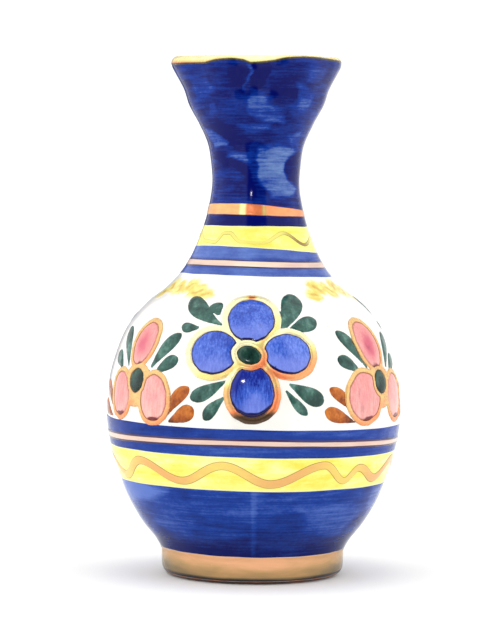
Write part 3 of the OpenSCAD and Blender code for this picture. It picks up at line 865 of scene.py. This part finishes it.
neck_wave_paint = wave_finish("olive_wave", (0.80, 0.72, 0.16, 1), (0.30, 0.17, 0.05, 1),
                              (0.26, 0.20, 0.05, 1), 0.16)
blue_enamel = petal_finish("blue_enamel", srgb(24, 38, 132), srgb(58, 90, 190), srgb(106, 134, 222),
                           srgb(16, 10, 66), 0.85, foot=srgb(122, 134, 214))
pink_enamel = petal_finish("pink_enamel", srgb(216, 128, 126), srgb(229, 152, 147), srgb(241, 186, 176),
                           srgb(112, 44, 52), 0.3, core=srgb(202, 82, 108))
leaf_green = leaf_finish("leaf_green", srgb(26, 58, 52), srgb(50, 92, 82), srgb(94, 134, 122))
heart_green = leaf_finish("heart_green", srgb(8, 30, 26), srgb(24, 58, 50), srgb(58, 90, 76))
ochre = leaf_finish("ochre", srgb(84, 34, 8), srgb(162, 78, 14), srgb(200, 116, 34), head=0.3)
garland_yellow = garland_finish()

# ---- coats round the pot

for name in ("clay_foot", "clay_body", "clay_mouth"):
    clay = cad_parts[name]
    clay.data.materials.clear()
    clay.data.materials.append(terracotta)

# Patches of cobalt with corners at (degrees, height): strength is above 0 where the colour is pale, below 0
# where it is dark, and softness is the width of the edge in mm. Round the back of the neck and on the bowl
# they are thinner and thicker paint; the neck's patches from -72 to 89 degrees are painted reflections, pale
# of the bright studio and dark of its dark gap, with painted shade in the front pleat's fold.
NECK_LOADS_AND_REFLECTIONS = [
    ([(-72, 128.9), (-50, 127.5), (-33, 125), (-38, 123.8), (-62, 123.2)], 0.9, 0.6),
    ([(2, 123.1), (14, 124), (43, 123.3), (60, 122.7), (41, 119.2), (37, 116.9), (48, 114.6), (67, 111.7),
      (46, 109), (21, 109.2), (2, 115)], 1.0, 1.4),
    ([(38, 126.8), (60, 128.1), (64, 123.5), (46, 123.9)], 0.5, 1.5),
    ([(65, 122.6), (41, 118.9), (38, 116.9), (50, 114.3), (89, 112.3), (89, 117.7)], -0.6, 0.8),
    ([(-7, 138.2), (4, 138.8), (13, 135.2), (28, 132.2), (28, 129.9), (7, 130.3), (-8, 132.8)], 0.6, 1.4),
    ([(-21, 129.2), (-3, 130.1), (16, 129.8), (14, 128.2), (-10, 127.4)], 0.6, 1.3),
    ([(34, 141.6), (43, 141.2), (55, 138.5), (54, 133.9), (43, 133.1), (34, 137.6)], 0.65, 2.0),
    ([(37, 146.2), (58, 146), (63, 142.1), (42, 142.3)], 0.45, 2.0),
    ([(-50, 133), (-44, 135.2), (-37, 135.5), (-38, 132.9)], 0.5, 1.0),
    ([(-61, 142.9), (-43, 143.2), (-36, 140.3), (-46, 137), (-64, 136.6)], 0.55, 2.0),
    ([(-40, 120.5), (-30, 122), (-11, 121.4), (-6, 119.1), (-16, 119.1)], 0.7, 0.8),
    ([(-61, 119.7), (-59, 122.1), (-30, 120.2), (-11, 117.9), (-4, 114.4), (0, 109.1), (-10, 109.1),
      (-12, 114.4), (-31, 117.9)], -0.5, 1.2),
    ([(-22, 146.5), (-8, 146.5), (-7, 144.1), (-12, 138.2), (-19, 140.2), (-22, 143)], -0.2, 1.4),
    ([(-7, 147), (-3, 147), (-5, 143), (-11, 138.5), (-12, 139.1), (-7, 143)], 0.7, 0.5),
    ([(-3, 147), (9, 147), (8, 142), (2, 140), (-4, 141)], -0.9, 1.4),
    ([(11, 143), (29, 143.8), (37, 139.4), (30, 133), (13, 136.9)], -0.3, 2.0),
    ([(-44, 131.8), (-26, 127.2), (-6, 124.9), (-11, 122), (-29, 123.1), (-55, 127.9)], -0.45, 2.2),
    ([(100, 127), (112, 128.6), (128, 126), (140, 120), (130, 114), (118, 112), (106, 115), (103, 121)],
     0.75, 2.2),
    ([(150, 140), (160, 141.6), (176, 139), (186, 133), (178, 129), (160, 128), (153, 134)], 0.6, 2.6),
    ([(188, 120), (198, 124), (214, 123.4), (226, 117), (218, 111), (206, 109), (192, 111), (196, 115)],
     0.85, 2.0),
    ([(226, 138), (236, 141.6), (252, 141), (262, 135), (250, 130), (236, 130)], 0.5, 2.6),
    ([(128, 133), (140, 134.4), (152, 131), (152, 125), (138, 126)], -0.5, 2.4),
    ([(200, 133), (212, 134.4), (226, 130), (228, 126.6), (208, 127)], -0.5, 2.4),
    ([(240, 119), (252, 122), (264, 119), (270, 113), (252, 110)], -0.45, 2.2)]
BOWL_LOADS = [
    ([(-82, 29), (-58, 28.6), (-40, 26.5), (-52, 24), (-74, 22)], 1.0, 3.0),
    ([(20, 23), (44, 24), (60, 21), (52, 14), (30, 15)], 0.5, 3.5),
    ([(62, 27), (84, 27), (84, 18), (66, 20)], 0.5, 3.0),
    ([(-60, 19), (-40, 21), (-24, 17), (-44, 13)], 0.35, 3.0),
    ([(100, 26), (130, 27), (140, 21), (108, 19)], 0.7, 3.0),
    ([(165, 24), (195, 27), (205, 20), (172, 17)], 0.6, 3.0),
    ([(230, 27), (255, 26), (250, 19), (226, 20)], 0.8, 3.0)]


def loads(table):
    """A coat's paler and darker patches, as a value over its points."""

    def at(s, a):
        z = np.interp(s, S, Z)
        around = np.degrees(a) + 1.2 * np.sin(0.9 * z) + 0.7 * np.sin(1.9 * z + 5 * a)
        up = z + 0.25 * np.sin(9 * a + 0.5 * z)
        total = np.zeros(s.shape)
        for corners, strength, softness in table:
            middle = corners[0][0]
            width = math.radians(float(radius_at(corners[0][1])))
            loop = np.array([((d - middle) * width, h) for d, h in corners])
            points = np.stack([turned(around - middle).ravel() * width, up.ravel()], 1)
            total = total + strength * smooth(inside_by(points, loop).reshape(s.shape) / softness + 0.5)
        return np.clip(total, -1, 1)

    return at


def tones(table, rest, spread=9.0):
    """A lustre's tone round the pot, from patches of (angle, half width in degrees, tone)."""

    def at(s, a):
        total = rest + 0 * s
        for middle, wide, tone in table:
            share = smooth((wide + spread / 2 - np.abs(turned(np.degrees(a) - middle))) / spread)
            total = total + (tone - total) * share
        return total

    return at


def neck_load(s, a):
    """The neck's painted reflections and painted shade at the front, its paint patches behind, and a thicker
    coat under its gold band.
    """
    z = np.interp(s, S, Z)
    return np.clip(loads(NECK_LOADS_AND_REFLECTIONS)(s, a) - 0.35 * smooth((104.6 - z) / 0.5), -1, 1)


def bowl_load(s, a):
    """The bowl's patches, with painted shade darkening it towards the foot and one thin bright painted
    reflection down its front.
    """
    z = np.interp(s, S, Z)
    # A painted reflection: one thin bright line down the front. depth is painted shade: paler above 19 mm and
    # darker towards the foot.
    painted_reflection_line = bell(turned(np.degrees(a) - 0.5), 0.9)
    depth = 0.25 * smooth((z - 19) / 5) - 0.15 - 0.6 * smooth((16 - z) / 8)
    return np.clip(loads(BOWL_LOADS)(s, a) + depth + 0.5 * painted_reflection_line, -1, 1)


def shoulder_load(s, a):
    """Painted light on the shoulder: darkest beside its gold line, paler above it in painted light, palest to
    the left, with a painted highlight just left of the front.
    """
    z = np.interp(s, S, Z)
    upper = 0.75 * smooth((z - 91.2) / 1.2) * (0.75 - 0.25 * np.sin(a))
    lower = 0.5 * smooth((89.4 - z) / 0.8)
    return upper + lower - 0.2 + 0.35 * bell(turned(np.degrees(a) + 6), 9)


# Painted light on the foot's lustre: paler at the lit front, darker to the sides, behind and lower down in
# painted shade, and near black at the bottom as a painted contact shadow
def foot_painted_light(s, a):
    z = np.interp(s, S, Z)
    side = 0.4 * np.sin(a / 2) ** 2 + 0.18 * np.sin(a) ** 2
    return 0.02 + side + 0.34 * smooth((6.2 - z) / 3.8) + 0.9 * smooth((1.9 - z) / 0.9)


glaze_edge = edge(1.2, height=0.08, seed=1)
shell("white_glaze_outside", glaze_edge, lambda a: S_CREST + 0 * a, white,
      ["white_glaze"], "white_glaze", top=GLAZE_TOP, sunk=(-0.5, -0.3), feather=0.8, under=-0.6)
shell("white_glaze_inside", lambda a: S_CREST + 0 * a, lambda a: S_END + 0 * a, white,
      ["inside_glaze", "mouth_lining"], "white_glaze", top=GLAZE_TOP, sunk=(-0.3, -0.3), feather=0.8,
      spacing=1.6, under=-0.45, capped=True)

# The yellow coats run a little way under the cobalt beside them
foot_top = edge(8.0, 0.15, seed=2)
bowl_top = edge(27.8, 0.3, seed=3, height=0.14)
belly_top = edge(37.2, 0.6, seed=5, height=0.12)
shoulder_top = edge(95, 0.85, 0.68, seed=10, height=0.12)
neck_low = edge(100.9, 0.1, seed=13)
shell("foot_gold", edge(0.15, height=0.03, seed=4), foot_top, foot_lustre, ["foot_gold_band"], "gold",
      top=0.02, feather=0.3, tone=foot_painted_light)
shell("bowl_cobalt_coat", lambda a: foot_top(a) - 0.1, bowl_top, bowl_cobalt, ["bowl_blue"], "cobalt",
      feather=0.2, spacing=0.9, load=bowl_load)
shell("belly_yellow_coat", lambda a: bowl_top(a) - 0.35, lambda a: belly_top(a) + 0.35, yellow,
      ["belly_yellow_band"], "yellow", top=-0.055)
shell("belly_cobalt_coat", belly_top, edge(45.2, 0.9, seed=6, height=0.16), belly_cobalt,
      ["belly_blue_band"], "cobalt", feather=0.2, load=lambda s, a: 0.1 * np.sin(3 * a + s))
shell("belly_gold_line", edge(40.3, 0.5, 1.05, seed=7, height=0.07),
      edge(42.5, 0.5, 1.05, seed=8, height=0.07), belly_line, ["belly_gold_line"], "gold",
      top=0.05, sunk=(-0.01, -0.01), feather=0.3, tone=tones([], 0.3))
shell("shoulder_cobalt_coat", edge(86.9, 0.35, seed=9), shoulder_top, shoulder_cobalt,
      ["shoulder_blue_band"], "cobalt", feather=0.2, spacing=0.7, load=shoulder_load)
# Its tone is paler at the front: a painted highlight
shell("shoulder_gold_line", edge(89.2, 0.35, seed=11, height=0.05), edge(91.2, 0.35, seed=12, height=0.05),
      shoulder_line, ["shoulder_gold_line"], "gold", top=0.05, sunk=(-0.01, -0.01), feather=0.3,
      tone=tones([(0, 12, 0.0)], 0.5, 40))
shell("neck_yellow_coat", lambda a: shoulder_top(a) - 0.35, lambda a: neck_low(a) + 0.35, yellow,
      ["neck_yellow_band"], "yellow", top=-0.055, spacing=0.7)


def neck_gold_top(a):
    """The band's upper edge falls steadily to the right of the front, and rises again behind."""
    degrees = turned(np.degrees(a))
    fall = np.interp(degrees, [-180, -100, -10, 80, 180], [1.2, 0, 0, 1.8, 1.2])
    return s_at(107.4 - fall + wobble(a, 14, 0.05))


GOLD_EDGE = [
    (-130, 147), (-85, 146.6), (-39, 146.5), (-29, 147.2), (-17, 147.6), (-10, 147.6), (-5, 147), (0, 147.2),
    (12, 147.1), (21, 147.8), (33, 148.2), (54, 148.2), (88, 147.4), (135, 147), (180, 147.2)]


def gold_edge(a):
    """Lower edge of the gold on the lip."""
    degrees, heights = zip(*GOLD_EDGE)
    return s_at(np.interp(np.degrees(a), degrees, heights, period=360) + wobble(a, 16, 0.04))


def lip_light_and_shade(s, a):
    """Painted light on the lip: pale yellow over its lit top, deeper in painted shade below, most at the left
    and the sides.
    """
    left = bump(np.degrees(a), -66, 26)
    return 0.02 + 0.1 * np.sin(a) ** 2 + (0.2 + 0.3 * left) * smooth((gold_edge(a) + 1.6 - s) / 1.2)


shell("neck_cobalt_coat", neck_low, lambda a: gold_edge(a) + 0.35, neck_cobalt,
      ["throat_blue", "mouth_blue"], "cobalt", feather=0.2, spacing=0.6, load=neck_load)
# Its tone patches are painted reflections: pale yellow and red-orange where the studio and its dark gap show
# in the gold at the front
shell("neck_gold_coat", edge(103.9, 0.25, seed=15, height=0.06), neck_gold_top, neck_gold,
      ["neck_gold_band"], "gold", top=0.07, sunk=(-0.03, -0.03), feather=0.3, spacing=0.6,
      tone=tones([(-15, 4, 0.12), (-1.5, 9.5, 0.68), (10, 1, 0.24), (52, 38, 0.56)], 0.44, 3))
shell("lip_gold_coat", gold_edge, lambda a: S_CREST + 4.4 + wobble(a, 17, 0.3), lip_gold,
      ["lip_gold"], "gold", top=0.1, sunk=(-0.01, -0.14), feather=0.35, spacing=0.3, tone=lip_light_and_shade)

BELLY_WAVE = [
    (-66, 30), (-51, 35), (-30, 30.2), (-12, 35), (7, 29.9), (29, 35), (40, 30.2), (47, 33.6), (60, 30),
    (76, 34.6), (96, 30.2), (116, 35), (136, 30), (157, 35), (177, 30.2), (197, 34.8), (216, 30),
    (235, 35), (255, 30.2), (274, 34.8)]
NECK_WAVE = [
    (-43, 96.2), (-34, 98.8), (-28, 98.9), (-14, 96.4), (6, 96.1), (31, 99), (57, 95.7), (80, 97.6),
    (105, 96.6), (130, 99.2), (155, 96.6), (180, 99), (205, 96.6), (230, 99.2), (255, 96.6), (280, 99),
    (300, 96.6)]
ribbon("belly_gold_wave_stroke", BELLY_WAVE, 2.4, belly_wave_paint, ["belly_gold_wave"],
       lambda d: 0.6 + 0.3 * np.sin(np.radians(7 * d)), seed=18)
ribbon("neck_gold_wave_stroke", NECK_WAVE, 1.05, neck_wave_paint, ["neck_gold_wave"],
       lambda d: -0.12 + 1.05 * bump(d, 50, 13) + 0.35 * bump(d, -30, 11) - 0.4 * bump(d, -3, 10),
       top=0.06, seed=19)

# ---- flowers round the belly

for number, degrees in enumerate((-2, 118, 238), 1):
    strokes = [(GREEN_LEAVES, f"blue_flower_{number}_leaves", leaf_green, f"blue_flower_leaves_{number}",
                "leaf_green")]
    flower("blue", number, Site(degrees, 65.5), BLUE_PETALS, BLUE_HEART, (1.9, 1.7, 8, 0), strokes,
           (blue_enamel, heart_green, outline_gold), 40 + 10 * number)
for number, degrees in enumerate((-52, 59, 178), 1):
    strokes = [(SPRIG_LEAVES, f"pink_flower_{number}_leaves", leaf_green, f"pink_flower_leaves_{number}",
                "leaf_green"),
               (OCHRE_LEAVES, f"ochre_leaf_pairs_{number}", ochre, f"ochre_leaves_{number}", "ochre")]
    flower("pink", number, Site(degrees, 57.5), PINK_PETALS[number - 1], PINK_HEART, (1.5, 1.2, 6.4, -1.2),
           strokes, (pink_enamel, heart_green, thin_gold), 100 + 10 * number)
    garland(number, degrees, garland_yellow)

# ---- studio and camera


def sheet(name, points, faces, material, grain, dark, light):
    """A plain matt sheet, faintly clouded."""
    mesh = bpy.data.meshes.new(name)
    mesh.from_pydata(points, [], faces)
    mesh.polygons.foreach_set("use_smooth", [True] * len(faces))
    f = Finish(material, 0.9)
    mesh.materials.append(f.paint(f.mix(f.noise(grain, grain, 1), dark, light)))
    return put(name, mesh)


def studio():
    """A white sweep and a white tent with a dark gap on the camera's side."""
    profile = [(-0.25, 0), (1.2, 0)]
    profile += [(1.2 + 0.8 * math.sin(t), 0.8 - 0.8 * math.cos(t)) for t in np.linspace(0.1, 1.57, 16)]
    profile.append((2.0, 4))
    points = [(x, y, z) for y, z in profile for x in (-4, 4)]
    faces = [(2 * i, 2 * i + 1, 2 * i + 3, 2 * i + 2) for i in range(len(profile) - 1)]
    sweep = sheet("sweep", points, faces, "white_paper", 400, (0.90, 0.90, 0.90, 1), (0.92, 0.92, 0.92, 1))

    # A grey card behind to the left, out of sight, draws a faint line down that side of the pot
    corners = [(-0.46, 1, 0), (-0.14, 1, 0), (-0.14, 1, 0.8), (-0.46, 1, 0.8)]
    card = sheet("card", corners, [(0, 1, 2, 3)], "grey_card", 60,
                 (0.07, 0.07, 0.15, 1), (0.09, 0.09, 0.17, 1))
    card.visible_camera = False
    card.visible_diffuse = False
    card.visible_shadow = False

    world = bpy.data.worlds.new("tent")
    bpy.context.scene.world = world
    world.use_nodes = True
    sky = Nodes(world.node_tree)
    x, y, z = sky.add("SeparateXYZ", {0: sky.add("TexCoord", {}).outputs["Generated"]}).outputs
    azimuth = sky.math("ARCTAN2", x, sky.math("MULTIPLY", y, -1.0))
    gap = sky.fit(sky.math("ABSOLUTE", sky.math("ADD", azimuth, -0.09)), 0.36, 0.50)
    cloth = sky.math("MAXIMUM", gap, sky.fit(z, 0.72, 0.92))
    lit = sky.math("MAXIMUM", cloth, sky.add("LightPath", {}).outputs["Is Camera Ray"])
    strength = sky.add("MapRange", {"Value": lit, "To Min": 0.16, "To Max": 1.75}).outputs[0]
    shade = sky.tree.nodes["Background"]
    shade.inputs["Color"].default_value = (1, 1, 1, 1)
    sky.tree.links.new(strength, shade.inputs["Strength"])

    lamp = bpy.data.lights.new("lamp", "AREA")
    lamp.shape = "DISK"
    lamp.size = 0.03
    lamp.energy = 0.5
    holder = put("lamp", lamp)
    holder.location = (-0.134, -0.845, 0.378)
    holder.rotation_mode = "QUATERNION"
    holder.rotation_quaternion = (Vector((0, 0, 0.09)) - holder.location).to_track_quat("-Z", "Y")


def camera():
    """The photograph's view: a long lens level with the lower neck, looking slightly down."""
    pitch, yaw, roll = math.atan(0.04), math.atan(0.0058), math.radians(0.5)
    turns = ((yaw, "Z"), (math.pi / 2 - pitch, "X"), (roll, "Z"))
    first, second, third = (Matrix.Rotation(angle, 4, axis) for angle, axis in turns)
    data = bpy.data.cameras.new("camera")
    data.lens = 140.6
    data.sensor_width = 36
    data.clip_start = 0.05
    data.clip_end = 20
    holder = put("camera", data)
    holder.matrix_world = Matrix.Translation((0, -0.725, 0.1026)) @ first @ second @ third
    bpy.context.scene.camera = holder


studio()
camera()
bpy.context.scene.view_settings.view_transform = "Standard"
